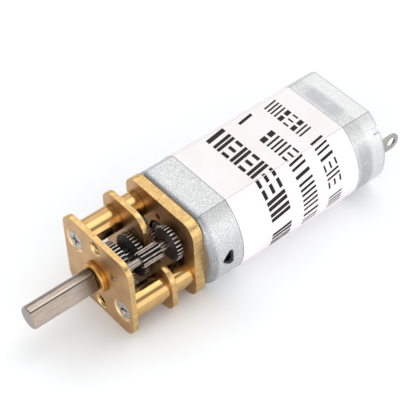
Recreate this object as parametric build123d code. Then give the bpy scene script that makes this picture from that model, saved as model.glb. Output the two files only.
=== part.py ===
from build123d import *
from math import acos, cos, pi, radians, sin, tan
import os

# Geared DC motor, in millimetres. +Z is up, +X is right seen from the front, and the output
# shaft points along -Y. The origin is on the shaft's axis, in the gearbox's front face.

# ---- gearbox frame ----
PLATE_W = 12.9  # plate width
PLATE_H = 12.0  # plate height, which is also the motor's size across its flats
PLATE_CORNER = 2.0
FRONT_T = 0.75  # front plate, from y = 0
MIDDLE_Y, MIDDLE_T = 5.9, 0.75
BACK_Y, BACK_T = 9.4, 1.4
NOTCH_X, NOTCH_Z = 1.5, 0.65  # the middle plate is cut away right of and above this corner
NOTCH_OUTER_R, NOTCH_INNER_R = 2.2, 1.0
POST_AT = (4.37, -2.47)  # the second post is diagonally opposite
POST_R = 1.75
MOUNT_HOLE_Z = 4.6  # tapped M2 mounting holes, above and below the shaft
MOUNT_HOLE_R = 0.8
MOUNT_CHAMFER = 0.2
SPARE_HOLE_AT = (-0.35, 3.25)  # unused axle position in the middle and back plates
SPARE_HOLE_R = 0.4
FIT = 0.02  # radial running clearance

# ---- long countersunk screws that clamp the plates and posts ----
SCREW_R = 0.78
SCREW_CLEAR_R = 0.85
SINK_R = 1.6  # countersink at the plate's face
HEAD_R = 1.33
HEAD_Y = 0.12  # the head's face lies this far below the plate's face
HEAD_EDGE = 0.12  # rounding of the head's edge
SCREW_SHORT = 0.3  # the screws end this far inside the back plate's rear face
CROSS_LENGTH, CROSS_WIDTH, CROSS_DEPTH, CROSS_TAPER = 1.75, 0.42, 0.4, 22
CROSS_TURNS = (20, 8)  # how far each screw's cross is turned, in degrees

# ---- motor fixing screws, in the back plate ----
MOTOR_SCREW_X = 3.4
MOTOR_SCREW_R = 0.65
MOTOR_HEAD_R = 1.1
MOTOR_SCREW_END = 12.0
SLOT_LENGTH, SLOT_WIDTH, SLOT_DEPTH = 1.1, 0.28, 0.3

# ---- output shaft and its bushing ----
SHAFT_R = 1.5
SHAFT_TIP = -10.0
TIP_CHAMFER = 0.12
FLAT_DEPTH = 0.5  # 2.5 mm from the flat to the far side
FLAT_ANGLE = 19.0  # the flat's normal, up from +X
BUSH_JOURNAL_R, BUSH_JOURNAL_Y = 1.3, -0.9  # the shaft is thinner from here back, in its bushing
SHOULDER_Y = 1.45
GEAR_SEAT_R = 1.15
REAR_JOURNAL_R = 0.5
BUSH_R = 2.0  # the collar in front of the plate
BUSH_SEAT_R = 1.8  # where the bushing is swaged into the plate
BUSH_MOUTH_R = 2.05  # the plate's hole is bevelled this wide at its front face
BUSH_FRONT = -0.8
BUSH_CHAMFER = 0.12
BUSH_FLANGE_R, BUSH_REAR = 2.5, 1.1
WASHER_R, WASHER_T = 2.2, 0.27

# ---- gear train ----
MODULE = 0.16
PRESSURE = radians(20)
ADDENDUM, DEDENDUM = 0.9, 1.25  # in modules
BACKLASH = 0.035
FLANK_STEPS = 3
CENTRES = 3.6
AXLE_A_ANGLE, AXLE_B_ANGLE = 35.0, 236.0
AXLE_A_R, AXLE_B_R = 0.5, 0.4
AXLE_A_SEAT = 1.0  # depth of its blind hole in the back plate
MOTOR_TEETH = 18
WHEEL1_TEETH, PINION1_TEETH = 27, 11
WHEEL2_TEETH, PINION2_TEETH = 34, 12
WHEEL3_TEETH, PINION3_TEETH = 33, 10
OUTPUT_TEETH = 35
MOTOR_PINION_Y = (7.9, 9.0)
WHEEL1_Y, PINION1_Y = (8.0, 8.8), (4.0, 6.9)
WHEEL2_Y, PINION2_Y = (4.8, 5.6), (3.4, 4.8)
WHEEL3_Y, PINION3_Y = (3.65, 4.45), (1.35, 3.65)
OUTPUT_GEAR_Y = (SHOULDER_Y, 3.2)
HUB_STAND = 0.12  # a pinion's hub ends this far behind its wheel
TOOTH_BEVEL = 0.05

# ---- motor can ----
CAN_R, CAN_SPREAD = 7.15, 0.95  # its round sides, and how far their axes lie from the shaft's
CAN_HALF_H = 5.95
CAN_WALL = 0.6
CAN_REAR = 38.6
CAN_FRONT_WALL = 0.8
CAN_EDGE_R = 1.1
BOSS_R, BOSS_FRONT = 2.0, 9.6
BOSS_HOLE_R = 2.3  # the back plate's hole around it
VENT_Y, VENT_LENGTH, VENT_HEIGHT, VENT_CORNER = 13.1, 1.8, 3.4, 0.4
RIM_NOTCH_WIDTH, RIM_NOTCH_DEPTH, RIM_NOTCH_Z = 0.8, 1.0, 4.2
LABEL_T = 0.05
LABEL_Y = (15.5, 34.2)

# ---- motor inside ----
MOTOR_SHAFT_R = 0.5
BEARING_R = 1.5
FRONT_BEARING_Y = (9.7, 11.9)
REAR_BEARING_FRONT = 36.7
CORE_R, CORE_HUB_R, SHOE_T, STEM_W = 4.85, 1.4, 0.8, 1.6
SHOE_SPAN = 98.0
CORE_Y = (14.8, 29.6)
COIL_W, COIL_INNER_R, COIL_OUTER_R, COIL_END = 3.6, 1.75, 3.55, 1.1
FIRST_POLE = 90.0
MAGNET_BORE_R, MAGNET_GLUE = 5.3, 0.05
MAGNET_SPAN = 76.0
MAGNET_Y = (14.2, 30.2)
CLIP_T, CLIP_GAP, CLIP_SHORT = 0.25, 0.4, 1.0
SPACER_R, SPACER_PLAY = 1.2, 0.1
COMMUTATOR_R, COMMUTATOR_HUB_R = 1.6, 1.25
COMMUTATOR_Y = (32.6, 35.6)
SEGMENT_SPAN = 108.0
FIRST_SEGMENT = 30.0
CAP_Y = (36.4, 38.2)
CAP_GAP = 0.02
CAP_BOSS_R, CAP_BOSS_REAR = 2.3, 38.9
TERMINAL_X, TERMINAL_T, TERMINAL_W = 6.3, 0.3, 2.4
TERMINAL_FRONT, TERMINAL_TIP = 35.6, 42.5
TERMINAL_HOLE_R = 0.65
ARM_T, ARM_SET = 0.25, 0.1
BRUSH_Y = (33.4, 34.8)
BRUSH_LENGTH, BRUSH_W = 0.9, 1.4

CAN_HALF_W = CAN_R + CAN_SPREAD
POSTS = (POST_AT, (-POST_AT[0], -POST_AT[1]))
MIDDLE_REAR = MIDDLE_Y + MIDDLE_T
BACK_REAR = BACK_Y + BACK_T
AXLE_A_END = BACK_Y + AXLE_A_SEAT
SIDES = (1, -1)
POLES = 3
PAST = 1.0  # a cutter runs this far past the face that it cuts
SKIN = 0.001  # keeps two coaxial surfaces from coinciding in a cut


def on_circle(radius, degrees):
    """The point at this angle, counter-clockwise from +X as seen from the front."""
    return (radius * cos(radians(degrees)), radius * sin(radians(degrees)))


AXLE_A = on_circle(CENTRES, AXLE_A_ANGLE)
AXLE_B = on_circle(CENTRES, AXLE_B_ANGLE)


# ---- helpers: sketches hold (x, z), seen from the front ----
def front_plane(y):
    return Plane(origin=(0, y, 0), x_dir=(1, 0, 0), z_dir=(0, -1, 0))


def prism(sketch, y0, y1):
    """The sketch as a solid between two stations along the shaft's axis."""
    return extrude(front_plane(y1) * sketch, y1 - y0)


def rod(radius, y0, y1, at=(0, 0)):
    return prism(Pos(*at) * Circle(radius), y0, y1)


def drill(radius, at=(0, 0)):
    """A cutter that goes right through every plate and the can's front."""
    return rod(radius, -PAST, BACK_REAR + CAN_FRONT_WALL + PAST, at)


def cone(r0, r1, y0, y1, at=(0, 0)):
    """A cone of radius r0 at y0 and r1 at y1."""
    ends = [front_plane(y0) * Pos(*at) * Circle(r0), front_plane(y1) * Pos(*at) * Circle(r1)]
    return loft(ends)


def tube(outer, inner, y0, y1, at=(0, 0)):
    return prism(Pos(*at) * (Circle(outer) - Circle(inner)), y0, y1)


def block(x, y, z):
    """A box between a pair of stations on each axis, in either order."""
    low, high = zip(*(sorted(pair) for pair in (x, y, z)))
    size = [b - a for a, b in zip(low, high)]
    middle = [(a + b) / 2 for a, b in zip(low, high)]
    return Pos(*middle) * Box(*size)


def both_ways(half):
    return (-half, half)


def cross(length, width):
    return Rectangle(length, width) + Rectangle(width, length)


def sector(r0, r1, middle, span):
    """A ring sector between two radii, centred on an angle, both angles in degrees."""
    inner, outer = (
        [(r * cos(a), r * sin(a)) for a in (-radians(span / 2), 0, radians(span / 2))]
        for r in (r0, r1)
    )
    edges = [
        ThreePointArc(*outer),
        Line(outer[2], inner[2]),
        ThreePointArc(*reversed(inner)),
        Line(inner[0], outer[0]),
    ]
    return Rot(0, 0, middle) * make_face(edges)


def group(solids):
    return Compound(children=[s if isinstance(s, Solid) else s.solids()[0] for s in solids])


PARTS = {}


def node(name, shape):
    PARTS[name] = shape


# ---- gear teeth ----
def involute(angle):
    return tan(angle) - angle


def tip_radius(teeth):
    return MODULE * (teeth / 2 + ADDENDUM)


def root_radius(teeth):
    return MODULE * (teeth / 2 - DEDENDUM)


def gear_outline(teeth, phase):
    """Involute teeth, one of them centred on the angle phase (degrees)."""
    pitch_r = MODULE * teeth / 2
    base_r = pitch_r * cos(PRESSURE)
    rise = (tip_radius(teeth) - base_r) / FLANK_STEPS
    half_at_pitch = pi / (2 * teeth) - BACKLASH / (4 * pitch_r)
    radii = [root_radius(teeth)] + [base_r + rise * k for k in range(FLANK_STEPS + 1)]
    flank = []
    for r in radii:
        pressure_here = acos(min(1.0, base_r / r))
        flank.append((r, half_at_pitch + involute(PRESSURE) - involute(pressure_here)))
    points = []
    for tooth in range(teeth):
        centre = radians(phase) + 2 * pi * tooth / teeth
        points += [(r * cos(centre - half), r * sin(centre - half)) for r, half in flank]
        points += [(r * cos(centre + half), r * sin(centre + half)) for r, half in reversed(flank)]
    return make_face(Polyline(*points, close=True))


def gap_phase(teeth, direction):
    """The phase that puts a gap between two teeth on this direction (degrees)."""
    return direction + 180 / teeth


def toothed(teeth, y, at, phase):
    """A solid toothed cylinder whose tooth ends are bevelled."""
    y0, y1 = y
    outer, inner = tip_radius(teeth) + SKIN, tip_radius(teeth) + SKIN - TOOTH_BEVEL
    limit = rod(outer, y0 + TOOTH_BEVEL, y1 - TOOTH_BEVEL, at)
    limit += cone(inner, outer, y0, y0 + TOOTH_BEVEL, at)
    limit += cone(outer, inner, y1 - TOOTH_BEVEL, y1, at)
    return prism(Pos(*at) * gear_outline(teeth, phase), y0, y1) & limit


def gear(teeth, bore_r, y, at, phase):
    return toothed(teeth, y, at, phase) - drill(bore_r, at)


def pinion_with_hub(teeth, bore_r, ends, hub_rear, at, phase):
    """A pinion whose plain hub runs on behind its teeth and through its wheel."""
    hub = rod(root_radius(teeth), ends[1], hub_rear, at)
    return toothed(teeth, ends, at, phase) + hub - drill(bore_r, at)


def cluster(stage, at, pin_r, wheel, pinion):
    """A wheel and its pinion on one pin.

    wheel and pinion each hold their teeth, where the teeth begin and end, and the direction of
    their mesh. A wheel has a tooth, and a pinion a gap, at its mesh.
    """
    wheel_teeth, wheel_y, wheel_mesh = wheel
    pinion_teeth, pinion_y, pinion_mesh = pinion
    hub_r = root_radius(pinion_teeth)
    node(f"{stage}_wheel", gear(wheel_teeth, hub_r, wheel_y, at, wheel_mesh))
    phase = gap_phase(pinion_teeth, pinion_mesh)
    hub_rear = wheel_y[1] + HUB_STAND
    shape = pinion_with_hub(pinion_teeth, pin_r + FIT, pinion_y, hub_rear, at, phase)
    node(f"{stage}_pinion", shape)


# ---- plates ----
def plate_outline():
    return RectangleRounded(PLATE_W, PLATE_H, PLATE_CORNER)


def notched_outline():
    """The plate's outline with its upper right cut away for the long pinion."""
    w, h = PLATE_W / 2, PLATE_H / 2
    corners = [
        ((-w, -h), PLATE_CORNER),
        ((w, -h), PLATE_CORNER),
        ((w, NOTCH_Z), NOTCH_OUTER_R),
        ((NOTCH_X, NOTCH_Z), NOTCH_INNER_R),
        ((NOTCH_X, h), NOTCH_OUTER_R),
        ((-w, h), PLATE_CORNER),
    ]
    face = make_face(Polyline(*[at for at, _ in corners], close=True))
    for (x, z), radius in corners:
        corner = face.vertices().sort_by_distance((x, z, 0))[0]
        face = fillet(corner, radius)
    return face


def make_front_plate():
    plate = prism(plate_outline(), 0, FRONT_T) - drill(BUSH_SEAT_R)
    plate -= cone(BUSH_MOUTH_R, BUSH_SEAT_R, 0, BUSH_MOUTH_R - BUSH_SEAT_R)
    for at in POSTS:
        plate -= drill(SCREW_CLEAR_R, at)
        plate -= cone(SINK_R, SCREW_CLEAR_R, 0, SINK_R - SCREW_CLEAR_R, at)
    for side in SIDES:
        at = (0, side * MOUNT_HOLE_Z)
        plate -= drill(MOUNT_HOLE_R, at)
        plate -= cone(MOUNT_HOLE_R + MOUNT_CHAMFER, MOUNT_HOLE_R, 0, MOUNT_CHAMFER, at)
    node("front_plate", plate - drill(AXLE_A_R, AXLE_A) - drill(AXLE_B_R, AXLE_B))


def make_middle_plate():
    plate = prism(notched_outline(), MIDDLE_Y, MIDDLE_REAR) - drill(REAR_JOURNAL_R + FIT)
    for at in POSTS:
        plate -= drill(SCREW_CLEAR_R, at)
    node("middle_plate", plate - drill(AXLE_B_R, AXLE_B) - drill(SPARE_HOLE_R, SPARE_HOLE_AT))


def make_back_plate():
    plate = prism(plate_outline(), BACK_Y, BACK_REAR) - drill(BOSS_HOLE_R)
    for at in POSTS:
        plate -= drill(SCREW_R, at)
    plate -= rod(AXLE_A_R, BACK_Y - PAST, AXLE_A_END, AXLE_A)
    for side in SIDES:
        at = (side * MOTOR_SCREW_X, 0)
        plate -= drill(MOTOR_SCREW_R, at)
        plate -= motor_screw_head(at)
    node("back_plate", plate - drill(SPARE_HOLE_R, SPARE_HOLE_AT))


def make_posts():
    front_ends = (FRONT_T, MIDDLE_Y)
    rear_ends = (MIDDLE_REAR, BACK_Y)
    for name, ends in (("front_posts", front_ends), ("rear_posts", rear_ends)):
        node(name, group([tube(POST_R, SCREW_CLEAR_R, *ends, at) for at in POSTS]))


# ---- screws ----
def long_screw(at, turn):
    seat = SINK_R - HEAD_R  # depth at which the countersink is as wide as the head
    screw = cone(HEAD_R - HEAD_EDGE, HEAD_R, HEAD_Y, seat, at)
    screw += cone(HEAD_R, SCREW_R, seat, seat + HEAD_R - SCREW_R, at)
    screw += rod(SCREW_R, seat + HEAD_R - SCREW_R, BACK_REAR - SCREW_SHORT, at)
    recess = front_plane(HEAD_Y) * Pos(*at) * Rot(0, 0, turn) * cross(CROSS_LENGTH, CROSS_WIDTH)
    return screw - extrude(recess, -CROSS_DEPTH, taper=CROSS_TAPER)


def motor_screw_head(at):
    return cone(MOTOR_HEAD_R, MOTOR_SCREW_R, BACK_Y, BACK_Y + MOTOR_HEAD_R - MOTOR_SCREW_R, at)


def motor_screw(at):
    screw = motor_screw_head(at) + rod(MOTOR_SCREW_R, BACK_Y, MOTOR_SCREW_END, at)
    return screw - prism(Pos(*at) * cross(SLOT_LENGTH, SLOT_WIDTH), BACK_Y, BACK_Y + SLOT_DEPTH)


def make_screws():
    node("front_screws", group([long_screw(*pair) for pair in zip(POSTS, CROSS_TURNS)]))
    node("motor_screws", group([motor_screw((side * MOTOR_SCREW_X, 0)) for side in SIDES]))


# ---- output stage ----
def make_output():
    bore_r = BUSH_JOURNAL_R + FIT
    bush = tube(BUSH_R, bore_r, BUSH_FRONT, 0)
    bush += tube(BUSH_SEAT_R, bore_r, 0, FRONT_T)
    bush += tube(BUSH_FLANGE_R, bore_r, FRONT_T, BUSH_REAR)
    front_rim = bush.edges().filter_by(GeomType.CIRCLE).group_by(Axis.Y)[0]
    node("output_bushing", chamfer(front_rim.sort_by(SortBy.RADIUS)[-1], BUSH_CHAMFER))

    shaft = rod(SHAFT_R, SHAFT_TIP, BUSH_JOURNAL_Y)
    shaft = chamfer(shaft.edges().sort_by(Axis.Y)[0], TIP_CHAMFER)
    beyond = Pos(2 * SHAFT_R - FLAT_DEPTH, 0) * Rectangle(2 * SHAFT_R, 4 * SHAFT_R)
    shaft -= prism(Rot(0, 0, FLAT_ANGLE) * beyond, SHAFT_TIP - PAST, BUSH_JOURNAL_Y)
    shaft += rod(BUSH_JOURNAL_R, BUSH_JOURNAL_Y, SHOULDER_Y)
    shaft += rod(GEAR_SEAT_R, SHOULDER_Y, OUTPUT_GEAR_Y[1])
    shaft += rod(REAR_JOURNAL_R, OUTPUT_GEAR_Y[1], MIDDLE_REAR)
    node("output_shaft", shaft)

    node("output_gear", gear(OUTPUT_TEETH, GEAR_SEAT_R, OUTPUT_GEAR_Y, (0, 0), AXLE_B_ANGLE))
    middle = (BUSH_REAR + SHOULDER_Y) / 2
    node("shaft_washer", tube(WASHER_R, bore_r, middle - WASHER_T / 2, middle + WASHER_T / 2))


# ---- gear clusters ----
def make_gear_train():
    a, b = AXLE_A_ANGLE, AXLE_B_ANGLE
    cluster(
        "stage3", AXLE_B, AXLE_B_R,
        (WHEEL3_TEETH, WHEEL3_Y, b + 180), (PINION3_TEETH, PINION3_Y, b + 180),
    )
    cluster(
        "stage2", (0, 0), REAR_JOURNAL_R,
        (WHEEL2_TEETH, WHEEL2_Y, a), (PINION2_TEETH, PINION2_Y, b),
    )
    cluster(
        "stage1", AXLE_A, AXLE_A_R,
        (WHEEL1_TEETH, WHEEL1_Y, a + 180), (PINION1_TEETH, PINION1_Y, a + 180),
    )
    phase = gap_phase(MOTOR_TEETH, a)
    node("motor_pinion", gear(MOTOR_TEETH, MOTOR_SHAFT_R, MOTOR_PINION_Y, (0, 0), phase))
    node("axle_a", rod(AXLE_A_R, 0, AXLE_A_END, AXLE_A))
    node("axle_b", rod(AXLE_B_R, 0, MIDDLE_REAR, AXLE_B))


# ---- motor ----
def can_outline(inset):
    """The can's cross-section: two flats joined by two arcs, inset all round."""
    radius = CAN_R - inset
    left, right = (Pos(side * CAN_SPREAD, 0) * Circle(radius) for side in SIDES)
    return (left + right) & Rectangle(2 * (CAN_SPREAD + radius), 2 * (CAN_HALF_H - inset))


def vent(side):
    """A rounded triangular vent through the can's round side."""
    half_l, half_h = VENT_LENGTH / 2, VENT_HEIGHT / 2
    plane = Plane(origin=(0, VENT_Y, 0), x_dir=(0, 1, 0), z_dir=(side, 0, 0))
    shape = make_face(Polyline((half_l, -half_h), (half_l, half_h), (-half_l, 0), close=True))
    return extrude(plane * fillet(shape.vertices(), VENT_CORNER), CAN_HALF_W + PAST)


def rim_notch(side, z):
    """A slot in the can's rear rim, through one corner between a flat and a round side."""
    ends = (CAN_REAR - RIM_NOTCH_DEPTH, CAN_REAR + PAST)
    half_w = RIM_NOTCH_WIDTH / 2
    inside = CAN_HALF_H - CAN_WALL
    return block((side * inside, side * (CAN_HALF_W + PAST)), ends, (z - half_w, z + half_w))


def make_can():
    can = prism(can_outline(0), BACK_REAR, CAN_REAR)
    can = fillet(can.edges().group_by(Axis.Y)[0], CAN_EDGE_R)
    can -= prism(can_outline(CAN_WALL), BACK_REAR + CAN_FRONT_WALL, CAN_REAR + PAST)
    can += rod(BOSS_R, BOSS_FRONT, BACK_REAR)
    can -= drill(BEARING_R) + drill(SPARE_HOLE_R, SPARE_HOLE_AT)
    for side in SIDES:
        can -= drill(MOTOR_SCREW_R, (side * MOTOR_SCREW_X, 0))
        can -= vent(side)
        for z in (RIM_NOTCH_Z, -RIM_NOTCH_Z):
            can -= rim_notch(side, z)
    node("motor_can", can)

    node("label", prism(can_outline(-LABEL_T) - can_outline(0), *LABEL_Y))


def make_end_cap():
    cap = prism(can_outline(CAN_WALL + CAP_GAP), *CAP_Y)
    cap += rod(CAP_BOSS_R, CAP_Y[1], CAP_BOSS_REAR)
    cap -= rod(BEARING_R, CAP_Y[0] - PAST, CAP_BOSS_REAR + PAST)
    for side in SIDES:
        cap -= terminal_strip(side)
    node("end_cap", cap)

    bore_r = MOTOR_SHAFT_R + FIT
    node("front_bearing", tube(BEARING_R, bore_r, *FRONT_BEARING_Y))
    node("rear_bearing", tube(BEARING_R, bore_r, REAR_BEARING_FRONT, CAP_BOSS_REAR))


def terminal_strip(side):
    """The straight stretch of one solder lug."""
    x = side * TERMINAL_X
    ends = (TERMINAL_FRONT, TERMINAL_TIP - TERMINAL_W / 2)
    return block((x - TERMINAL_T / 2, x + TERMINAL_T / 2), ends, both_ways(TERMINAL_W / 2))


def solder_lug(side):
    """A flat strip with a round end and a hole for the wire."""
    plane = Plane(
        origin=(side * TERMINAL_X, TERMINAL_TIP - TERMINAL_W / 2, 0),
        x_dir=(0, 1, 0),
        z_dir=(1, 0, 0),
    )
    lug = terminal_strip(side)
    lug += extrude(plane * Circle(TERMINAL_W / 2), TERMINAL_T / 2, both=True)
    return lug - extrude(plane * Circle(TERMINAL_HOLE_R), TERMINAL_T, both=True)


def brush_arm(side, brush_out):
    """An angled spring that stands on its lug and presses its brush on the commutator."""
    rear = TERMINAL_FRONT + ARM_SET + ARM_T
    width = both_ways(BRUSH_W / 2)
    reach = (side * brush_out, side * (TERMINAL_X - TERMINAL_T / 2))
    leaf = (side * brush_out, side * (brush_out + ARM_T))
    return block(reach, (rear - ARM_T, rear), width) + block(leaf, (BRUSH_Y[0], rear), width)


def make_terminals():
    brush_in = COMMUTATOR_R + FIT
    brush_out = brush_in + BRUSH_LENGTH
    width = both_ways(BRUSH_W / 2)
    brushes = [block((side * brush_in, side * brush_out), BRUSH_Y, width) for side in SIDES]
    node("terminals", group([solder_lug(side) for side in SIDES]))
    node("brush_arms", group([brush_arm(side, brush_out) for side in SIDES]))
    node("brushes", group(brushes))


def make_magnets():
    inside = can_outline(CAN_WALL + MAGNET_GLUE)
    sides = [sector(MAGNET_BORE_R, CAN_HALF_W, middle, MAGNET_SPAN) for middle in (0, 180)]
    node("magnets", group([prism(side & inside, *MAGNET_Y) for side in sides]))
    floor = CAP_GAP - (CAN_HALF_H - CAN_WALL)
    half_w = MAGNET_BORE_R * cos(radians(MAGNET_SPAN / 2)) - CLIP_GAP
    ends = (MAGNET_Y[0] + CLIP_SHORT, MAGNET_Y[1] - CLIP_SHORT)
    node("magnet_clip", block(both_ways(half_w), ends, (floor, floor + CLIP_T)))


def coil(angle):
    """One pole's winding: a block around the pole's stem, past both ends of the core."""
    middle, depth = (COIL_INNER_R + COIL_OUTER_R) / 2, COIL_OUTER_R - COIL_INNER_R
    place = Rot(0, 0, angle) * Pos(middle, 0)
    winding = prism(place * Rectangle(depth, COIL_W), CORE_Y[0] - COIL_END, CORE_Y[1] + COIL_END)
    return winding - prism(place * Rectangle(2 * depth, STEM_W), *CORE_Y)


def make_rotor():
    node("rotor_shaft", rod(MOTOR_SHAFT_R, MOTOR_PINION_Y[0], CAN_REAR))
    poles = [FIRST_POLE + 360 / POLES * k for k in range(POLES)]
    stem = CORE_R - SHOE_T / 2
    core = Circle(CORE_HUB_R)
    for angle in poles:
        core += Rot(0, 0, angle) * Pos(stem / 2, 0) * Rectangle(stem, STEM_W)
        core += sector(CORE_R - SHOE_T, CORE_R, angle, SHOE_SPAN)
    node("armature_core", prism(core - Circle(MOTOR_SHAFT_R), *CORE_Y))
    node("windings", group([coil(angle) for angle in poles]))

    gaps = [
        (FRONT_BEARING_Y[1] + SPACER_PLAY, CORE_Y[0] - COIL_END - SPACER_PLAY),
        (COMMUTATOR_Y[1], REAR_BEARING_FRONT - SPACER_PLAY),
    ]
    node("rotor_spacers", group([tube(SPACER_R, MOTOR_SHAFT_R, *ends) for ends in gaps]))
    node("commutator_hub", tube(COMMUTATOR_HUB_R, MOTOR_SHAFT_R, *COMMUTATOR_Y))
    middles = [FIRST_SEGMENT + 360 / POLES * k for k in range(POLES)]
    bars = [sector(COMMUTATOR_HUB_R, COMMUTATOR_R, middle, SEGMENT_SPAN) for middle in middles]
    node("commutator_bars", group([prism(bar, *COMMUTATOR_Y) for bar in bars]))


make_front_plate()
make_middle_plate()
make_back_plate()
make_posts()
make_screws()
make_output()
make_gear_train()
make_can()
make_end_cap()
make_terminals()
make_magnets()
make_rotor()

os.makedirs("parts", exist_ok=True)
for name, shape in PARTS.items():
    export_step(shape, f"parts/{name}.step")
print(len(PARTS), "nodes")
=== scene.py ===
import math
import random

import bmesh
import bpy
from mathutils import Matrix, Vector


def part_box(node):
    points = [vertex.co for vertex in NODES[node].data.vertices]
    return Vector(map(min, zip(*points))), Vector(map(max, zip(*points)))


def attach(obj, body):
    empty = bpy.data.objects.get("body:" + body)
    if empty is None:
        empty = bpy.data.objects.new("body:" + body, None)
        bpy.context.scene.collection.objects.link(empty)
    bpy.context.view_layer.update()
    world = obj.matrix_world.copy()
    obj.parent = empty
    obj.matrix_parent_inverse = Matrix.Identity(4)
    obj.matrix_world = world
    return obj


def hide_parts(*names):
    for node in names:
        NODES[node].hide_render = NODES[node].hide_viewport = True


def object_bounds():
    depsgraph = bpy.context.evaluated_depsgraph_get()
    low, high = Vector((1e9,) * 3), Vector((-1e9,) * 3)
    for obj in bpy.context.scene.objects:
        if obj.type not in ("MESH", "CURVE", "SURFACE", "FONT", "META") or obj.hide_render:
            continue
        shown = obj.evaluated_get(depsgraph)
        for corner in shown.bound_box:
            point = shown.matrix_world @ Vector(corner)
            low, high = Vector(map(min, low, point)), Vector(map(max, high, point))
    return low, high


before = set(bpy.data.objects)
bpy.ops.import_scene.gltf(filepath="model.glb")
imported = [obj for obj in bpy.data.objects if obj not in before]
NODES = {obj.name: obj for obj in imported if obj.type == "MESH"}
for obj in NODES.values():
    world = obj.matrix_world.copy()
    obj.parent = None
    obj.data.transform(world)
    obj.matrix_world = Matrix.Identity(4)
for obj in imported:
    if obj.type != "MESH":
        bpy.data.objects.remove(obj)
CAD_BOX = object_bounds()
MM = 0.001


# ---- the camera: the photograph's viewing angle, framed on the object ----
VIEW_AZIMUTH, VIEW_ELEVATION, VIEW_ROLL = 52.76, 45.99, -3.04  # degrees
VIEW_TARGET = Vector((2.594, 15.0, 2.784)) * MM
VIEW_DISTANCE = 189.2 * MM
LENS, SENSOR = 136.06, 36.0


def make_camera():
    """The azimuth runs from the front (-Y) towards the right (+X)."""
    a, e, r = (math.radians(v) for v in (VIEW_AZIMUTH, VIEW_ELEVATION, VIEW_ROLL))
    back = Vector((math.sin(a) * math.cos(e), -math.cos(a) * math.cos(e), math.sin(e)))
    right = Vector((math.cos(a), math.sin(a), 0))
    up = back.cross(right)
    across = right * math.cos(r) + up * math.sin(r)
    above = up * math.cos(r) - right * math.sin(r)
    data = bpy.data.cameras.new("camera")
    data.lens, data.sensor_width = LENS, SENSOR
    data.clip_start, data.clip_end = 0.01, 10.0
    camera = bpy.data.objects.new("camera", data)
    turn = Matrix((across, above, back)).transposed().to_4x4()
    camera.matrix_world = Matrix.Translation(VIEW_TARGET + back * VIEW_DISTANCE) @ turn
    bpy.context.scene.collection.objects.link(camera)
    bpy.context.scene.camera = camera


# ---- sizes that the finishes and the pieces made here share, in millimetres ----
CAN_R, CAN_SPREAD = 7.15, 0.95  # the round sides, and how far their axes lie from the shaft's
CAN_FRONT, CAN_REAR, CAP_REAR = 10.8, 38.6, 38.2
PALE_REAR_Y = (36.6, 37.5)  # the can's paler rear begins between these
DARK_PATCH_Y = (34.4, 34.9), (36.2, 36.9)  # where the darker patch in front of it begins and ends
DARK_PATCH_X, DARK_PATCH_Z = (2.2, 3.8), (2.8, 4.4)  # and where it ends towards the folds
LABEL_Y = (15.5, 34.2)
LABEL_FLAT, LABEL_R = 5.975, CAN_R + 0.025  # the film's outer face, on a flat and a round side
FILM_T, OVERLAP_LIFT = 0.02, 0.012
SEAM = (-15.2, -13.2)  # the film's overlap, measured around the can from the top's middle
FOLD_ANGLE = math.asin(LABEL_FLAT / LABEL_R)
FOLD_X = CAN_SPREAD + LABEL_R * math.cos(FOLD_ANGLE)
INK_LIFT = 0.003, 0.010  # the ink's inner and outer face, above the film
SHAFT_R, JOURNAL_Y = 1.5, -0.95  # from here back, the shaft is thinner and in its bushing, and is painted near black as shade
BUSHING_SHADE_Y = (-4.6, -1.2)  # painted shade on the shaft grows between these, towards the bushing
# The second angle is the middle of a dark band of painted shade on the shaft's round side.
FLAT_ANGLE, SHADE_BAND_ANGLE = math.radians(19), math.radians(122)  # measured from +X towards +Z
FLAT_EDGE_SHADES = ((67.2, 0.16, 1.0), (-29.2, 0.08, 0.6))  # lines of painted shade along the flat's edges: angle in degrees, width, darkness
SCREW_FACE, HEAD_R = 0.12, 1.33  # the front of the two screws' heads, along Y
POST_AT = (4.37, -2.47)  # the (x, z) of a screw and its posts. The other pair is opposite
SINK_R = 1.58
SPARE_HOLE, SPARE_HOLE_R = (-0.35, 3.25), 0.4
MOUNT_Z, MOUNT_R, MOUNT_CHAMFER = 4.6, 0.8, 0.2
BORE_MARGIN = 0.02  # a bore's painted shade reaches this far past its wall
TEETH_END = {  # where the teeth of each steel pinion stop, along Y
    "stage1_pinion": 6.9,
    "stage3_pinion": 3.65,
    "motor_pinion": 9.0,
}
SHARP_ANGLE = math.radians(32)  # edges sharper than this are softened, or stay sharp
SIDES = (1, -1)

# ---- tones: linear (red, green, blue). A pair holds the two ends of a variation ----
BRASS_FACE = (0.59, 0.375, 0.180), (0.50, 0.305, 0.142)
BRASS_EDGE = (0.50, 0.31, 0.12), (0.80, 0.55, 0.24)
# The second tone below is painted shade for the spare hole.
BRASS_FRESH, BRASS_HOLE_SHADE = (0.90, 0.64, 0.34), (0.30, 0.16, 0.06)
# Painted shade inside the mounting holes.
BRASS_BORE_SHADE = (0.20, 0.10, 0.035)
POST_BRASS = (0.63, 0.405, 0.170), (0.56, 0.35, 0.140)
BRONZE = (0.72, 0.41, 0.12), (0.60, 0.32, 0.085)
SCREW_PLATING = (0.58, 0.55, 0.51), (0.40, 0.38, 0.36)
# Painted shade for the screws: deep in the cross, and in a ring at the head's edge.
SCREW_CROSS_SHADE, SCREW_RIM_SHADE = (0.035, 0.030, 0.026), (0.08, 0.07, 0.06)
SHAFT_TURNED = (0.34, 0.285, 0.24), (0.47, 0.40, 0.345)
SHAFT_GROUND = (0.43, 0.345, 0.29), (0.58, 0.475, 0.40)
# The first tone below is painted shade for the dark band along the shaft's round side.
SHAFT_BAND_SHADE, SHAFT_MOTTLE = (0.17, 0.135, 0.11), (0.40, 0.325, 0.28)
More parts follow.
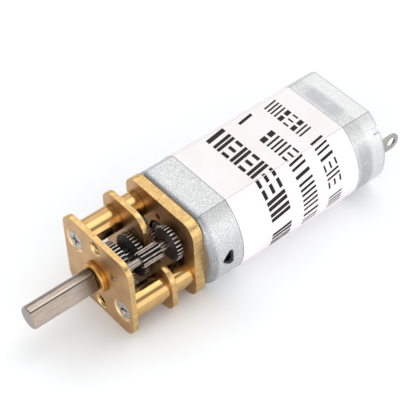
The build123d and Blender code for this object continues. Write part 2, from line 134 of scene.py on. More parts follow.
# The second tone below is painted shade that darkens the shaft towards the bushing.
SHAFT_END, SHAFT_ROOT_SHADE = (0.21, 0.185, 0.175), (0.13, 0.10, 0.08)
# Both tones below are painted shade: near black on the journal in its bushing, and dark lines
# along the flat's edges.
SHAFT_JOURNAL_SHADE, SHAFT_EDGE_SHADE = (0.04, 0.03, 0.02), (0.10, 0.08, 0.065)
AXLE_STEEL = (0.24, 0.205, 0.18), (0.34, 0.295, 0.26)
# The second tone below is painted shade for the grooves between a pinion's teeth.
PINION_STEEL, PINION_GROOVE_SHADE = ((0.27, 0.23, 0.20), (0.46, 0.40, 0.355)), (0.035, 0.033, 0.032)
GEAR_OXIDE = (0.014, 0.011, 0.010), (0.032, 0.026, 0.024)
GEAR_WORN = (0.34, 0.32, 0.31), (0.74, 0.71, 0.69)
CAN_SPECKLE, CAN_FLAKE = ((0.38, 0.385, 0.395), (0.73, 0.73, 0.73)), (0.78, 0.78, 0.77)
# The last tone below is painted shade along the can's front fillet.
CAN_PALE_REAR, CAN_DARK_PATCH, CAN_FILLET_SHADE = (0.82, 0.82, 0.82), (0.42, 0.43, 0.44), (0.19, 0.20, 0.23)
# The first tone below is painted shade along the can's folds.
CAN_FOLD_SHADE, CAN_RIM, CAN_BOSS = (0.30, 0.30, 0.31), (0.40, 0.40, 0.41), (0.06, 0.055, 0.05)
# The second tone below is painted shade along the film's folds.
LABEL_FILM, LABEL_FOLD_SHADE = ((0.83, 0.775, 0.785), (0.85, 0.82, 0.825)), (0.50, 0.47, 0.48)
# Painted shade at the film's cut edges.
LABEL_EDGE_SHADE = (0.16, 0.155, 0.16)
INK = (0.020, 0.017, 0.017), (0.010, 0.009, 0.009)
CUT_BRASS = (0.90, 0.58, 0.24), (0.70, 0.42, 0.15)
TAB_STEEL = (0.78, 0.78, 0.78), (0.50, 0.50, 0.51)
CAP_PLASTIC = (0.045, 0.045, 0.05), (0.03, 0.03, 0.032)


# ---- materials: procedural node trees, with coordinates in millimetres ----
class Nodes:
    """A node tree being built. Its methods add nodes and return their output sockets."""

    def __init__(self, tree):
        self.tree = tree

    def add(self, kind, inputs, output, **settings):
        """Adds a node, links or sets its inputs, and returns one of its outputs."""
        node = self.tree.nodes.new(kind)
        for key, value in settings.items():
            setattr(node, key, value)
        for key, value in inputs.items():
            if isinstance(value, bpy.types.NodeSocket):
                self.tree.links.new(value, node.inputs[key])
            else:
                node.inputs[key].default_value = value
        return node.outputs[output]

    def math(self, operation, a, b=0.0):
        return self.add("ShaderNodeMath", {0: a, 1: b}, 0, operation=operation)

    def vector(self, operation, a, b):
        return self.add("ShaderNodeVectorMath", {0: a, 1: b}, 0, operation=operation)

    def dot(self, a, b):
        return self.add("ShaderNodeVectorMath", {0: a, 1: b}, "Value", operation="DOT_PRODUCT")

    def part(self, vector, axis):
        """One component of a vector: X, Y or Z."""
        return self.add("ShaderNodeSeparateXYZ", {0: vector}, axis)

    def span(self, value, low, high, to_low=0.0, to_high=1.0):
        """Maps low..high smoothly to to_low..to_high, clamped."""
        inputs = {"Value": value, "From Min": low, "From Max": high}
        inputs.update({"To Min": to_low, "To Max": to_high})
        return self.add("ShaderNodeMapRange", inputs, 0, interpolation_type="SMOOTHSTEP")


class Shader(Nodes):
    """A material being built, on the tree of its Principled surface."""

    def __init__(self, name, **constants):
        self.material = bpy.data.materials.new(name)
        self.material.use_nodes = True
        super().__init__(self.material.node_tree)
        self.surface = self.tree.nodes["Principled BSDF"]
        for key, value in constants.items():
            self.surface.inputs[key.replace("_", " ")].default_value = value
        coordinates = self.tree.nodes.new("ShaderNodeTexCoord")
        self.normal = coordinates.outputs["Normal"]
        self.place = self.vector("MULTIPLY", coordinates.outputs["Object"], (1 / MM,) * 3)

    def noise(self, scale, stretch=(1, 1, 1), detail=2.0, roughness=0.5):
        """Fractal noise from 0 to 1, with scale features per millimetre."""
        place = self.vector("MULTIPLY", self.place, tuple(scale * s for s in stretch))
        inputs = {"Vector": place, "Scale": 1.0, "Detail": detail, "Roughness": roughness}
        return self.add("ShaderNodeTexNoise", inputs, "Fac")

    def cells(self, scale):
        """A value from 0 to 1 that is the same all over each random cell."""
        place = self.vector("MULTIPLY", self.place, (scale,) * 3)
        colour = self.add("ShaderNodeTexVoronoi", {"Vector": place, "Scale": 1.0}, "Color")
        return self.part(colour, "X")

    def mix(self, factor, a, b):
        """A colour between a and b. Both are sockets or (red, green, blue)."""
        a, b = (c if isinstance(c, bpy.types.NodeSocket) else (*c, 1.0) for c in (a, b))
        inputs = {"Factor": factor, 6: a, 7: b}
        return self.add("ShaderNodeMix", inputs, 2, data_type="RGBA")

    def shade(self, value, low, high, pair):
        """The tones of a pair, from one to the other while value goes from low to high."""
        return self.mix(self.span(value, low, high), *pair)

    def blend(self, factor, a, b):
        """A value between a and b."""
        return self.add("ShaderNodeMix", {"Factor": factor, 2: a, 3: b}, 0)

    def radius(self, centre):
        """The distance from a line along Y through centre, (x, z) in millimetres."""
        flat = self.vector("MULTIPLY", self.place, (1, 0, 1))
        away = self.vector("SUBTRACT", flat, (centre[0], 0, centre[1]))
        return self.add("ShaderNodeVectorMath", {0: away}, "Value", operation="LENGTH")

    def facing_y(self):
        """1 on faces square to the shaft's axis, 0 on their edges."""
        return self.span(self.math("ABSOLUTE", self.part(self.normal, "Y")), 0.75, 0.95)

    def turned_to(self, angle):
        """The cosine between the surface's normal and a direction square to the shaft."""
        return self.dot(self.normal, (math.cos(angle), 0, math.sin(angle)))

    def finish(self, colour, roughness, height, depth, metallic=None):
        """Links the surface's inputs. The bump's height runs over depth millimetres."""
        links = {"Base Color": colour, "Roughness": roughness, "Metallic": metallic}
        for key, value in links.items():
            if value is not None:
                self.tree.links.new(value, self.surface.inputs[key])
        inputs = {"Height": height, "Distance": depth * MM, "Strength": 1.0}
        normal = self.add("ShaderNodeBump", inputs, "Normal")
        self.tree.links.new(normal, self.surface.inputs["Normal"])
        return self.material


def brass_plate(name, cuts):
    """Stamped brass. cuts lists (x, z, radius, tone) of bored places, the widest first; a tone is
    fresh brass or painted shade.
    """
    s = Shader(name, Metallic=1.0)
    face = s.facing_y()
    grain = s.noise(9.0, detail=3.0)
    stain = s.noise(0.35, detail=2.0)
    lines = s.noise(1.0, stretch=(14, 0.9, 14), detail=3.0, roughness=0.65)
    on_edge = s.shade(lines, 0.35, 0.65, BRASS_EDGE)
    colour = s.mix(face, on_edge, s.shade(stain, 0.35, 0.7, BRASS_FACE))
    # Each cut is painted over the plate: fresh brass at chamfers and sinks, painted shade inside
    # bores and holes.
    for x, z, radius, tone in cuts:
        inside = s.math("LESS_THAN", s.radius((x, z)), radius)
        colour = s.mix(inside, colour, tone)
    rough_edge = s.span(lines, 0.3, 0.7, 0.24, 0.40)
    rough_face = s.span(grain, 0.3, 0.7, 0.34, 0.46)
    roughness = s.blend(face, rough_edge, rough_face)
    return s.finish(colour, roughness, s.blend(face, lines, grain), depth=0.006)


def brass_post():
    """Turned brass, with fine rings along Y."""
    s = Shader("brass_post", Metallic=1.0)
    rings = s.noise(1.0, stretch=(0.15, 22, 0.15), detail=2.0)
    colour = s.shade(s.noise(0.5), 0.35, 0.7, POST_BRASS)
    return s.finish(colour, s.span(rings, 0.3, 0.7, 0.11, 0.18), rings, depth=0.001)


def bronze():
    """Sintered bronze, with small pores."""
    s = Shader("bronze", Metallic=1.0)
    pores = s.cells(11.0)
    colour = s.shade(s.noise(1.2), 0.35, 0.65, BRONZE)
    return s.finish(colour, s.span(pores, 0.0, 1.0, 0.28, 0.42), pores, depth=0.003)


def screw_steel():
    """Plated steel, with painted shade deep in the cross and in a ring at the edge of the head.
    """
    s = Shader("screw_steel", Metallic=1.0)
    grain = s.noise(7.0, detail=3.0)
    colour = s.shade(grain, 0.35, 0.65, SCREW_PLATING)
    # Painted shade, darker deeper in the cross.
    deep_shade = s.span(s.part(s.place, "Y"), SCREW_FACE + 0.03, SCREW_FACE + 0.22)
    colour = s.mix(deep_shade, colour, SCREW_CROSS_SHADE)
    # Painted shade in a ring at the edge of each head.
    one, other = (s.radius((side * POST_AT[0], side * POST_AT[1])) for side in SIDES)
    out = s.math("MINIMUM", one, other)
    rim = s.math("MULTIPLY", s.span(out, HEAD_R - 0.12, HEAD_R - 0.03, 0.0, 0.85), s.facing_y())
    colour = s.mix(rim, colour, SCREW_RIM_SHADE)
    return s.finish(colour, s.span(grain, 0.3, 0.7, 0.24, 0.38), grain, depth=0.004)


def shaft_steel():
    """Drawn along Y: a ground flat and a darker round side, with painted shade in a band along
    the round side, in lines along the flat's edges and towards the bushing, and near black on the
    journal.
    """
    s = Shader("shaft_steel", Metallic=1.0)
    streaks = s.noise(1.0, stretch=(11, 0.5, 11), detail=2.0, roughness=0.55)
    mottle = s.noise(5.0, detail=3.0)
    turned, ground = (s.shade(streaks, 0.3, 0.7, pair) for pair in (SHAFT_TURNED, SHAFT_GROUND))
    colour = s.mix(s.span(s.turned_to(FLAT_ANGLE), 0.97, 0.99), turned, ground)
    # A dark band of painted shade along the round side.
    colour = s.mix(s.span(s.turned_to(SHADE_BAND_ANGLE), 0.88, 0.95, 0.0, 0.5), colour, SHAFT_BAND_SHADE)
    colour = s.mix(s.span(mottle, 0.40, 0.75, 0.0, 0.4), colour, SHAFT_MOTTLE)
    colour = s.mix(s.math("MULTIPLY", s.facing_y(), 0.7), colour, SHAFT_END)
    y = s.part(s.place, "Y")
    # Painted shade, darker towards the bushing.
    colour = s.mix(s.span(y, *BUSHING_SHADE_Y, 0.0, 0.85), colour, SHAFT_ROOT_SHADE)
    # Painted shade: the journal inside the bushing is near black.
    colour = s.mix(s.math("GREATER_THAN", y, JOURNAL_Y), colour, SHAFT_JOURNAL_SHADE)
    # Thin lines of painted shade along the flat's two edges.
    for degrees, width, darkness in FLAT_EDGE_SHADES:
        angle = math.radians(degrees)
        away = s.radius((SHAFT_R * math.cos(angle), SHAFT_R * math.sin(angle)))
        colour = s.mix(s.span(away, width * 0.4, width, darkness, 0.0), colour, SHAFT_EDGE_SHADE)
    return s.finish(colour, s.span(mottle, 0.3, 0.7, 0.17, 0.24), streaks, depth=0.0012)


def axle_steel():
    """Steel wire, with faint lines along Y."""
    s = Shader("bare_steel", Metallic=1.0)
    lines = s.noise(1.0, stretch=(10, 1.5, 10), detail=2.0)
    colour = s.shade(lines, 0.35, 0.65, AXLE_STEEL)
    return s.finish(colour, s.span(lines, 0.3, 0.7, 0.18, 0.28), lines, depth=0.0015)


def pinion_steel(name):
    """Bare steel, with painted shade in the grooves between the teeth."""
    s = Shader(f"steel_{name}", Metallic=1.0)
    tip = wheel_tip(name)
    lines = s.noise(1.0, stretch=(9, 1.5, 9), detail=2.0)
    steel = s.shade(lines, 0.35, 0.65, PINION_STEEL)
    ridge = s.span(s.radius(wheel_axis(name)), tip - 0.24, tip - 0.04)
    hub = s.math("GREATER_THAN", s.part(s.place, "Y"), TEETH_END[name])
    # Painted shade on the grooves and flanks between the teeth; the ridges, the end faces and the
    # hub beyond the teeth keep the steel.
    unshaded = s.math("MAXIMUM", s.math("MAXIMUM", ridge, hub), s.facing_y())
    colour = s.mix(unshaded, PINION_GROOVE_SHADE, steel)
    return s.finish(colour, s.span(lines, 0.3, 0.7, 0.20, 0.30), lines, depth=0.0015)


def black_gear(name):
    """Black oxide, worn bright on the lands of the teeth."""
    s = Shader(f"black_{name}")
    tip = wheel_tip(name)
    wear = s.noise(6.0, detail=3.0)
    reach = s.math("ADD", s.radius(wheel_axis(name)), s.math("MULTIPLY", wear, 0.05))
    bright = s.span(reach, tip - 0.03, tip + 0.02)
    grain = s.noise(5.0, detail=3.0)
    oxide = s.shade(grain, 0.35, 0.65, GEAR_OXIDE)
    colour = s.mix(bright, oxide, s.mix(wear, *GEAR_WORN))
    roughness = s.blend(bright, s.span(grain, 0.3, 0.7, 0.34, 0.5), 0.25)
    return s.finish(colour, roughness, grain, depth=0.004, metallic=bright)


def can_steel():
    """Matt plated steel, with painted shade along its front fillet and along the folds; paler
    towards the rear, with a darker patch in front of that.
    """
    s = Shader("can_steel", Metallic=1.0)
    speckle = s.noise(8.5, detail=4.0, roughness=0.7)
    flake = s.cells(7.0)
    cloud = s.noise(0.5)
    colour = s.shade(speckle, 0.38, 0.6, CAN_SPECKLE)
    colour = s.mix(s.math("MULTIPLY", flake, 0.25), colour, CAN_FLAKE)
    y = s.part(s.place, "Y")
    # Paler towards the rear, and a darker patch in front of that.
    pale_rear = s.span(s.math("ADD", y, s.math("MULTIPLY", cloud, 1.6)), *PALE_REAR_Y, 0.0, 0.45)
    colour = s.mix(pale_rear, colour, CAN_PALE_REAR)
    patch = s.math("MULTIPLY", s.span(y, *DARK_PATCH_Y[0]), s.span(y, *DARK_PATCH_Y[1], 1.0, 0.0))
    x, z = (s.math("ABSOLUTE", s.part(s.place, axis)) for axis in ("X", "Z"))
    off_fold = s.math("MAXIMUM", s.span(x, *DARK_PATCH_X, 1.0, 0.0), s.span(z, *DARK_PATCH_Z, 1.0, 0.0))
    patch = s.math("MULTIPLY", patch, off_fold)
    dark_patch = s.math("MULTIPLY", patch, s.span(cloud, 0.35, 0.5, 0.3, 0.65))
    colour = s.mix(dark_patch, colour, CAN_DARK_PATCH)
    # Painted shade along the front fillet, blue-grey and speckled.
    band = s.span(y, CAN_FRONT + 0.6, CAN_FRONT + 1.25, 1.0, 0.0)
    fillet_shade = s.math("MULTIPLY", band, s.span(speckle, 0.3, 0.6, 0.85, 0.45))
    colour = s.mix(fillet_shade, colour, CAN_FILLET_SHADE)
    # Painted shade along the folds.
    colour = s.mix(fold_shade(s, 0.03, 0.09), colour, CAN_FOLD_SHADE)
    colour = s.mix(s.span(y, CAN_REAR - 0.3, CAN_REAR - 0.1, 0.0, 0.5), colour, CAN_RIM)
    boss = s.math("LESS_THAN", y, CAN_FRONT - 0.05)
    colour = s.mix(boss, colour, CAN_BOSS)
    return s.finish(colour, s.span(flake, 0.0, 1.0, 0.36, 0.54), speckle, depth=0.007)


def fold_shade(s, inner, outer):
    """Painted shade along the line where a flat side meets a round one, fading from inner to
    outer.
    """
    strength = 0.7
    across = s.math("SUBTRACT", s.math("ABSOLUTE", s.part(s.place, "X")), FOLD_X)
    return s.span(s.math("ABSOLUTE", across), inner, outer, strength, 0.0)


def label_film():
    """White film under a clear coat, with painted shade at its cut edges and along the folds."""
    s = Shader("label_film", Roughness=0.32, IOR=1.48, Coat_Weight=0.3, Coat_Roughness=0.08)
    tint = s.noise(0.25)
    grain = s.noise(1.4, detail=3.0)
    colour = s.shade(tint, 0.3, 0.7, LABEL_FILM)
    # Painted shade along the folds.
    colour = s.mix(fold_shade(s, 0.02, 0.08), colour, LABEL_FOLD_SHADE)
    from_middle = s.math("ABSOLUTE", s.math("SUBTRACT", s.part(s.place, "Y"), sum(LABEL_Y) / 2))
    half = (LABEL_Y[1] - LABEL_Y[0]) / 2
    # Painted shade at the film's cut edges.
    colour = s.mix(s.span(from_middle, half - 0.09, half - 0.02), colour, LABEL_EDGE_SHADE)
    return s.finish(colour, None, grain, depth=0.004)


def plain(name, tones, roughness=(0.4, 0.6), scale=4.0, stretch=(1, 1, 1), **constants):
    """A simple finish: a light and a dark tone in a fine noise, with matching roughness."""
    s = Shader(name, **constants)
    light, dark = tones
    grain = s.noise(scale, stretch=stretch, detail=3.0)
    colour = s.mix(s.span(grain, 0.3, 0.7), dark, light)
    return s.finish(colour, s.span(grain, 0.3, 0.7, *roughness), grain, depth=0.004)


# ---- the CAD nodes: finishes and softened edges ----
def dress(names, material, bevel=0.03):
    """Gives nodes a finish and softened edges. bevel is their width in millimetres."""
    for name in names:
        piece = NODES[name]
        piece.data.materials.clear()
        piece.data.materials.append(material)
        soften(piece, bevel)


def soften(piece, width):
    """Joins the split vertices, rounds the sharp edges and shades the result smoothly."""
    weld = piece.modifiers.new("weld", "WELD")
    weld.merge_threshold = 0.0005 * MM
    planar = piece.modifiers.new("planar", "DECIMATE")
    planar.decimate_type, planar.angle_limit = "DISSOLVE", math.radians(1)
    bevel = piece.modifiers.new("bevel", "BEVEL")
    bevel.width, bevel.segments = width * MM, 2
    bevel.limit_method, bevel.angle_limit = "ANGLE", SHARP_ANGLE
    bevel.use_clamp_overlap = True
    normals = piece.modifiers.new("normals", "WEIGHTED_NORMAL")
    normals.weight = 60


def wheel_axis(name):
    """The (x, z) of a wheel's axis, from the node's box."""
    low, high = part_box(name)
    return ((low.x + high.x) / 2 / MM, (low.z + high.z) / 2 / MM)


def wheel_tip(name):
    """The radius of a wheel's tips, from the node's box."""
    low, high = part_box(name)
    return max(high.x - low.x, high.z - low.z) / 2 / MM


def dress_gearbox_and_can():
    """The finishes of the pieces that the photograph shows."""
    cuts = [(side * POST_AT[0], side * POST_AT[1], SINK_R, BRASS_FRESH) for side in SIDES]
    for side in SIDES:
        cuts.append((0, side * MOUNT_Z, MOUNT_R + MOUNT_CHAMFER, BRASS_FRESH))
        # Painted shade inside each mounting hole.
        cuts.append((0, side * MOUNT_Z, MOUNT_R + BORE_MARGIN, BRASS_BORE_SHADE))
    dress(["front_plate"], brass_plate("brass_front", cuts), 0.05)
    # The spare hole is painted dark as shade.
    spare = [(*SPARE_HOLE, SPARE_HOLE_R + BORE_MARGIN, BRASS_HOLE_SHADE)]
    dress(["middle_plate", "back_plate"], brass_plate("brass_plate", spare), 0.05)
    dress(["front_posts", "rear_posts"], brass_post(), 0.07)
    dress(["output_bushing", "shaft_washer", "front_bearing", "rear_bearing"], bronze(), 0.04)
    dress(["front_screws", "motor_screws"], screw_steel())
    dress(["output_shaft"], shaft_steel(), 0.025)
    dress(["axle_a", "axle_b", "rotor_shaft"], axle_steel(), 0.012)
    for name in TEETH_END:
        dress([name], pinion_steel(name), 0.012)
    for name in ("output_gear", "stage1_wheel", "stage2_wheel", "stage3_wheel", "stage2_pinion"):
        dress([name], black_gear(name), 0.012)
    dress(["motor_can"], can_steel(), 0.05)


def dress_motor_parts():
    """The finishes of the motor's rear and its inside."""
    dress(["end_cap"], plain("cap_plastic", CAP_PLASTIC), 0.1)
    tin = (0.44, 0.43, 0.40), (0.32, 0.31, 0.29)
    dress(["terminals"], plain("tinned_brass", tin, (0.25, 0.38), Metallic=1.0), 0.05)
    spring = (0.78, 0.52, 0.26), (0.68, 0.43, 0.2)
    dress(["brush_arms"], plain("spring_bronze", spring, (0.25, 0.35), Metallic=1.0))
    carbon = (0.06, 0.06, 0.06), (0.03, 0.03, 0.03)
    dress(["brushes"], plain("carbon", carbon))
    core, sheets = ((0.30, 0.30, 0.31), (0.16, 0.16, 0.17)), (0.1, 1, 0.1)
    lamination = plain("lamination", core, (0.3, 0.45), stretch=sheets, Metallic=1.0)
    dress(["armature_core"], lamination, 0.02)
    enamel, turns = ((0.62, 0.20, 0.06), (0.42, 0.12, 0.03)), (1, 0.1, 1)
    wire = plain("enamel_wire", enamel, (0.2, 0.35), stretch=turns, Metallic=0.6)
    dress(["windings"], wire, 0.3)
    copper = (0.80, 0.40, 0.24), (0.68, 0.32, 0.18)
    dress(["commutator_bars"], plain("copper", copper, (0.2, 0.35), Metallic=1.0))
    ferrite = (0.07, 0.07, 0.075), (0.04, 0.04, 0.042)
    dress(["magnets"], plain("ferrite", ferrite), 0.08)
    blued = (0.52, 0.53, 0.55), (0.40, 0.41, 0.43)
    dress(["magnet_clip"], plain("spring_steel", blued, (0.25, 0.4), Metallic=1.0))
    resin = (0.22, 0.11, 0.05), (0.15, 0.07, 0.03)
    dress(["rotor_spacers", "commutator_hub"], plain("phenolic", resin))


# ---- pieces made here ----
def add_piece(name, verts, faces, material, node=None):
    """A piece on the housing, from points in millimetres."""
    mesh = bpy.data.meshes.new(name)
    mesh.from_pydata([Vector(v) * MM for v in verts], [], faces)
    mesh.materials.append(material)
    shell = bmesh.new()
    shell.from_mesh(mesh)
    bmesh.ops.recalc_face_normals(shell, faces=shell.faces)
    shell.to_mesh(mesh)
    shell.free()
    mesh.shade_smooth()
    mesh.set_sharp_from_angle(angle=SHARP_ANGLE)
    piece = bpy.data.objects.new(name, mesh)
    bpy.context.scene.collection.objects.link(piece)
    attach(piece, "housing")
    if node:
        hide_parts(node)


class Solids:
    """Collects closed solids for one piece."""

    def __init__(self):
        self.verts, self.faces = [], []

    def grid(self, outer, inner):
        """A slab between two grids of points. Rows and columns match."""
        rows, columns = len(outer), len(outer[0])
        start = len(self.verts)
        for layer in (outer, inner):
            for row in layer:
                self.verts.extend(row)
        step = rows * columns

        def at(layer, i, j):
            return start + layer * step + i * columns + j

        for i in range(rows - 1):
            for j in range(columns - 1):
                quad = [(i, j), (i, j + 1), (i + 1, j + 1), (i + 1, j)]
                self.faces.append([at(0, *k) for k in quad])
                self.faces.append([at(1, *k) for k in reversed(quad)])
        rim = [(0, j) for j in range(columns - 1)]
        rim += [(i, columns - 1) for i in range(rows - 1)]
        rim += [(rows - 1, j) for j in range(columns - 1, 0, -1)]
        rim += [(i, 0) for i in range(rows - 1, 0, -1)]
        for (i, j), (k, m) in zip(rim, rim[1:] + rim[:1]):
            self.faces.append([at(0, k, m), at(0, i, j), at(1, i, j), at(1, k, m)])

    def ring(self, sections):
        """A closed loop of matching cross-sections."""
        self.strip(sections + [sections[0]], closed=True)

    def strip(self, sections, closed=False):
        """A bar through matching cross-sections, with flat ends unless closed."""
        start, size = len(self.verts), len(sections[0])
        count = len(sections) - (1 if closed else 0)
        for section in sections[:count]:
            self.verts.extend(section)

        def at(i, j):
            return start + (i % count) * size + j % size

        for i in range(len(sections) - 1):
            for j in range(size):
                self.faces.append([at(i, j), at(i, j + 1), at(i + 1, j + 1), at(i + 1, j)])
        if not closed:
            self.faces.append([at(0, j) for j in reversed(range(size))])
            self.faces.append([at(count - 1, j) for j in range(size)])


def around(s, y, lift):
    """The point s millimetres around the can from the middle of its top, lift above the film."""
    side, s = (1 if s >= 0 else -1), abs(s)
    arc = 2 * FOLD_ANGLE * LABEL_R
    if s <= FOLD_X:
        x, z = s, LABEL_FLAT + lift
    elif s <= FOLD_X + arc:
        angle, out = FOLD_ANGLE - (s - FOLD_X) / LABEL_R, LABEL_R + lift
        x, z = CAN_SPREAD + out * math.cos(angle), out * math.sin(angle)
    else:
        x, z = 2 * FOLD_X + arc - s, -LABEL_FLAT - lift
    return (side * x, y, z)


def make_label():
    """A sleeve of film whose ends overlap at the seam."""
    half = 2 * FOLD_X + 2 * FOLD_ANGLE * LABEL_R
    count, seam_count, gap, step = 240, 8, 0.05, 0.01
    stations = [(-half + 2 * half * k / count, 0.0) for k in range(count)]
    stations = [(s, lift) for s, lift in stations if not SEAM[0] - gap < s < SEAM[1] + gap]
    for k in range(seam_count + 1):
        stations.append((SEAM[0] + (SEAM[1] - SEAM[0]) * k / seam_count, OVERLAP_LIFT))
    stations += [(SEAM[0] - step, 0.0), (SEAM[1] + step, 0.0)]
    for corner in (FOLD_X, half - FOLD_X):
        stations += [(side * corner, 0.0) for side in SIDES]
    front, rear = LABEL_Y
    sleeve = Solids()
    sleeve.ring([
        [around(s, front, lift), around(s, rear, lift),
         around(s, rear, -FILM_T), around(s, front, -FILM_T)]
        for s, lift in sorted(set(stations))
    ])
    add_piece("label_sleeve", sleeve.verts, sleeve.faces, label_film(), "label")


MARK_ROWS = (  # front edge, height, width, pitch, line, first and last place around the can
    (20.1, 3.0, 1.20, 1.56, 0.50, -4.5, 15.0),
    (25.1, 2.3, 1.05, 1.40, 0.32, -4.4, 14.6),
    (29.2, 2.1, 0.90, 1.18, 0.27, -4.0, 14.8),
)
# What a mark can be. The ones that come up more often stand here more often, and a gap is empty.
MARK_KINDS = ("pair", "levels", "pair", "upright", "pair", "blocks", "pair", "levels", "gap")
MARK_SEED = 4


def make_marks():
    """Rows of plain strokes, each row made of marks of one height, width and pitch."""
    ink = plain("ink", INK, (0.45, 0.6), Specular_IOR_Level=0.2)
    marks = Solids()
    draw = random.Random(MARK_SEED)
    lean, column_width, rows = 0.16, 0.2, 4

    def stroke(s0, s1, y0, y1, base):
        columns = max(2, round((s1 - s0) / column_width) + 1)

        def layer(lift):
            return [
                [around(s0 + (s1 - s0) * j / (columns - 1) + lean * (base - y), y, lift)
                 for j in range(columns)]
                for y in (y0 + (y1 - y0) * i / (rows - 1) for i in range(rows))
            ]

        inner, outer = INK_LIFT
        marks.grid(layer(outer), layer(inner))

    for front, height, width, pitch, line, s, end in MARK_ROWS:
        rear = front + height
        while s < end:
            kind = draw.choice(MARK_KINDS)
            if kind == "pair":
                stroke(s, s + line, front, rear, front)
                stroke(s + width - line, s + width, front, rear, front)
            elif kind == "levels":
                for k in (0, 0.5, 1):
                    y = front + k * (height - line)
                    stroke(s, s + width, y, y + line, front)
            elif kind == "blocks":
                for k in (0, 0.58):
                    y, end_y = front + k * height, front + (k + 0.42) * height
                    stroke(s + 0.1, s + width - 0.1, y, end_y, front)
            elif kind == "upright":
                middle, half = s + width / 2, 0.7 * line
                stroke(middle - half, middle + half, front, rear, front)
            s += pitch
    add_piece("label_marks", marks.verts, marks.faces, ink)


def make_threads():
    """Part of a thread in each mounting hole, fading out at both ends."""
    threads = Solids()
    steps, turns, pitch, depth, middle = 32, 1.4, 0.35, 0.10, 0.375
    half_root, half_crest = 0.12, 0.02
    count = round(steps * turns)
    for side in SIDES:
        sections = []
        for k in range(count + 1):
            angle = 2 * math.pi * k / steps
            y = middle + pitch * turns * (k / count - 0.5)
            fade = min(1, 6 * k / count, 6 * (1 - k / count))
            crest, root = MOUNT_R - (depth * fade + 0.005), MOUNT_R + BORE_MARGIN
            profile = [(root, y - half_root), (crest, y - half_crest),
                       (crest, y + half_crest), (root, y + half_root)]
            sections.append([(r * math.cos(angle), v, side * MOUNT_Z + r * math.sin(angle))
                             for r, v in profile])
        threads.strip(sections)
    cut_brass = plain("cut_brass", CUT_BRASS, (0.22, 0.34), Metallic=1.0)
    add_piece("mount_threads", threads.verts, threads.faces, cut_brass)


def make_rim_tabs():
    """Four tabs folded from the can's rear rim over the cap."""
    tabs = Solids()
    middle, half_w, t, reach, inset, slices = 4.2, 0.30, 0.35, 1.5, 0.12, 6
    root, rear, inner = CAN_REAR - 0.97, CAP_REAR + t, CAP_REAR + 0.02
    for side in SIDES:
        for level in SIDES:
            sections = []
            for k in range(slices + 1):
                z = level * middle + half_w * (2 * k / slices - 1)
                out = CAN_SPREAD + math.sqrt(CAN_R ** 2 - z ** 2) - inset
                end = out - reach + (0.06 if k in (0, slices) else 0.0)
                profile = [(out, root), (out, rear - 0.25), (out - 0.08, rear - 0.08),
                           (out - 0.25, rear), (end + 0.15, rear), (end, rear - 0.12),
                           (end, inner), (out - t, inner), (out - t, root)]
                sections.append([(side * x, y, z) for x, y in profile])
            tabs.strip(sections)
    steel = plain("tab_steel", TAB_STEEL, (0.36, 0.5), 7.0, Metallic=1.0)
    add_piece("rim_tabs", tabs.verts, tabs.faces, steel)


def make_cap_details():
    """Moulded ribs, a ring, ejector marks and a polarity dot on the cap's rear face."""
    details = Solids()
    root = CAP_REAR - 0.05

    def circle(x, z, radius, y, steps=32):
        angles = [2 * math.pi * k / steps for k in range(steps)]
        return [(x + radius * math.cos(a), y, z + radius * math.sin(a)) for a in angles]

    def disc(x, z, radius, rear, edge=0.03):
        details.strip([circle(x, z, radius, root), circle(x, z, radius, rear - edge),
                       circle(x, z, radius - edge, rear)])

    def block(x, z, half_x, half_z, rear, edge=0.06):
        def section(inset, y):
            a, b = half_x - inset, half_z - inset
            return [(x - a, y, z - b), (x + a, y, z - b), (x + a, y, z + b), (x - a, y, z + b)]

        details.strip([section(0, root), section(0, rear - edge), section(edge, rear)])

    outer, inner, rear, edge, steps = 3.3, 3.0, 38.36, 0.04, 64
    profile = [(outer, root), (outer, rear - edge), (outer - 0.06, rear),
               (inner + 0.06, rear), (inner, rear - edge), (inner, root)]
    angles = [2 * math.pi * k / steps for k in range(steps)]
    details.ring([[(r * math.cos(a), y, r * math.sin(a)) for r, y in profile] for a in angles])
    rib_x, stop_x, stop_z = 4.55, 6.2, 1.75
    ejector_at, dot_at = (2.9, 3.6), (4.9, 3.1)
    for side in SIDES:
        block(side * rib_x, 0, 1.35, 0.25, 38.42)
        for level in SIDES:
            block(side * stop_x, level * stop_z, 0.5, 0.2, 38.5)
        for level in SIDES:
            disc(side * ejector_at[0], side * level * ejector_at[1], 0.55, 38.24)
    disc(*dot_at, 0.34, 38.34)
    plastic = plain("cap_detail", CAP_PLASTIC)
    add_piece("cap_details", details.verts, details.faces, plastic)


# ---- the studio ----
PANEL, PANEL_COSINES, PANEL_LEVEL = (-0.42, 0.46, 0.78), (0.66, 0.82), 0.70
STRIP, STRIP_COSINES, STRIP_LEVEL = (0.05, 0.42, 0.90), (0.90, 0.95), 1.0
RIGHT_LEVEL, FRONT_LEVEL, AMBIENT_LEVEL = 1.25, 0.85, 0.47
# The two low panels, as ranges of a direction's x, y or z that their edges fade in: the right
# one begins at RIGHT_EDGE, and the front one at FRONT_EDGE and LEFT_EDGE. Both end at UPPER_EDGE.
RIGHT_EDGE, FRONT_EDGE = (0.15, 0.5), (-0.2, -0.6)
LEFT_EDGE, UPPER_EDGE = (-0.3, 0.0), (0.52, 0.62)
KEY_TOWARDS, KEY_DISTANCE, KEY_SIZE, KEY_POWER = (-0.9, -0.05, 1.0), 0.45, 0.30, 0.25
FLOOR_SIZE, FLOOR_TONE = 1.5, (0.95, 0.965, 0.98, 1)
FLOOR_GAP = 0.01 * MM  # keeps the floor off the part's lower faces


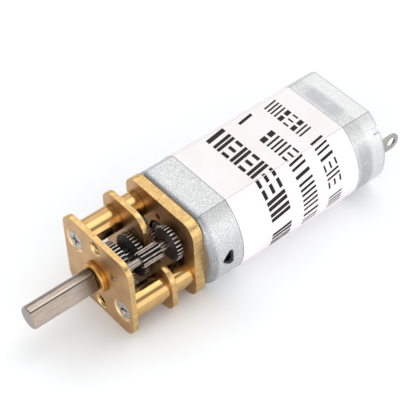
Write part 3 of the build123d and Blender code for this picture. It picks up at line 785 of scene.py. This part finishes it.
def make_stage():
    """A pale matt floor just under the part."""
    size, z = FLOOR_SIZE, CAD_BOX[0].z - FLOOR_GAP
    corners = [(-size, -size, z), (size, -size, z), (size, size, z), (-size, size, z)]
    mesh = bpy.data.meshes.new("floor")
    mesh.from_pydata(corners, [], [(0, 1, 2, 3)])
    floor = bpy.data.objects.new("floor", mesh)
    bpy.context.scene.collection.objects.link(floor)
    paint = bpy.data.materials.new("floor_paint")
    paint.use_nodes = True
    surface = paint.node_tree.nodes["Principled BSDF"]
    surface.inputs["Base Color"].default_value = FLOOR_TONE
    surface.inputs["Roughness"].default_value = 0.9
    surface.inputs["Specular IOR Level"].default_value = 0.0
    mesh.materials.append(paint)


def make_world():
    """A grey studio with soft panels: overhead behind the part, at the right and in front."""
    world = bpy.data.worlds.new("studio")
    bpy.context.scene.world = world
    world.use_nodes = True
    s = Nodes(world.node_tree)
    direction = s.tree.nodes.new("ShaderNodeTexCoord").outputs["Generated"]
    x, y, z = (s.part(direction, axis) for axis in "XYZ")

    def panel(centre, cosines, level):
        towards = s.dot(direction, tuple(Vector(centre).normalized()))
        return s.span(towards, *cosines, 0.0, level)

    wide = panel(PANEL, PANEL_COSINES, PANEL_LEVEL)
    overhead = s.math("ADD", wide, panel(STRIP, STRIP_COSINES, STRIP_LEVEL))
    below = s.span(z, *UPPER_EDGE, 1.0, 0.0)
    right = s.math("MULTIPLY", s.span(x, *RIGHT_EDGE, 0.0, RIGHT_LEVEL), below)
    not_left = s.span(x, *LEFT_EDGE)
    facing = s.math("MULTIPLY", s.span(y, *FRONT_EDGE, 0.0, FRONT_LEVEL), not_left)
    front = s.math("MULTIPLY", facing, below)
    level = s.math("ADD", s.math("ADD", overhead, right), s.math("ADD", front, AMBIENT_LEVEL))
    background = s.tree.nodes["Background"]
    s.tree.links.new(level, background.inputs["Strength"])
    background.inputs["Color"].default_value = (1, 1, 1, 1)


def make_key_light():
    """A weak soft disc at the upper left, aimed at the part."""
    data = bpy.data.lights.new("key", "AREA")
    data.shape, data.size, data.energy = "DISK", KEY_SIZE, KEY_POWER
    light = bpy.data.objects.new("key", data)
    direction = Vector(KEY_TOWARDS).normalized()
    turn = direction.to_track_quat("Z", "Y").to_matrix().to_4x4()
    light.matrix_world = Matrix.Translation(VIEW_TARGET + direction * KEY_DISTANCE) @ turn
    bpy.context.scene.collection.objects.link(light)


make_camera()
dress_gearbox_and_can()
dress_motor_parts()
make_label()
make_marks()
make_threads()
make_rim_tabs()
make_cap_details()
make_stage()
make_world()
make_key_light()
bpy.context.scene.view_settings.view_transform = "Standard"
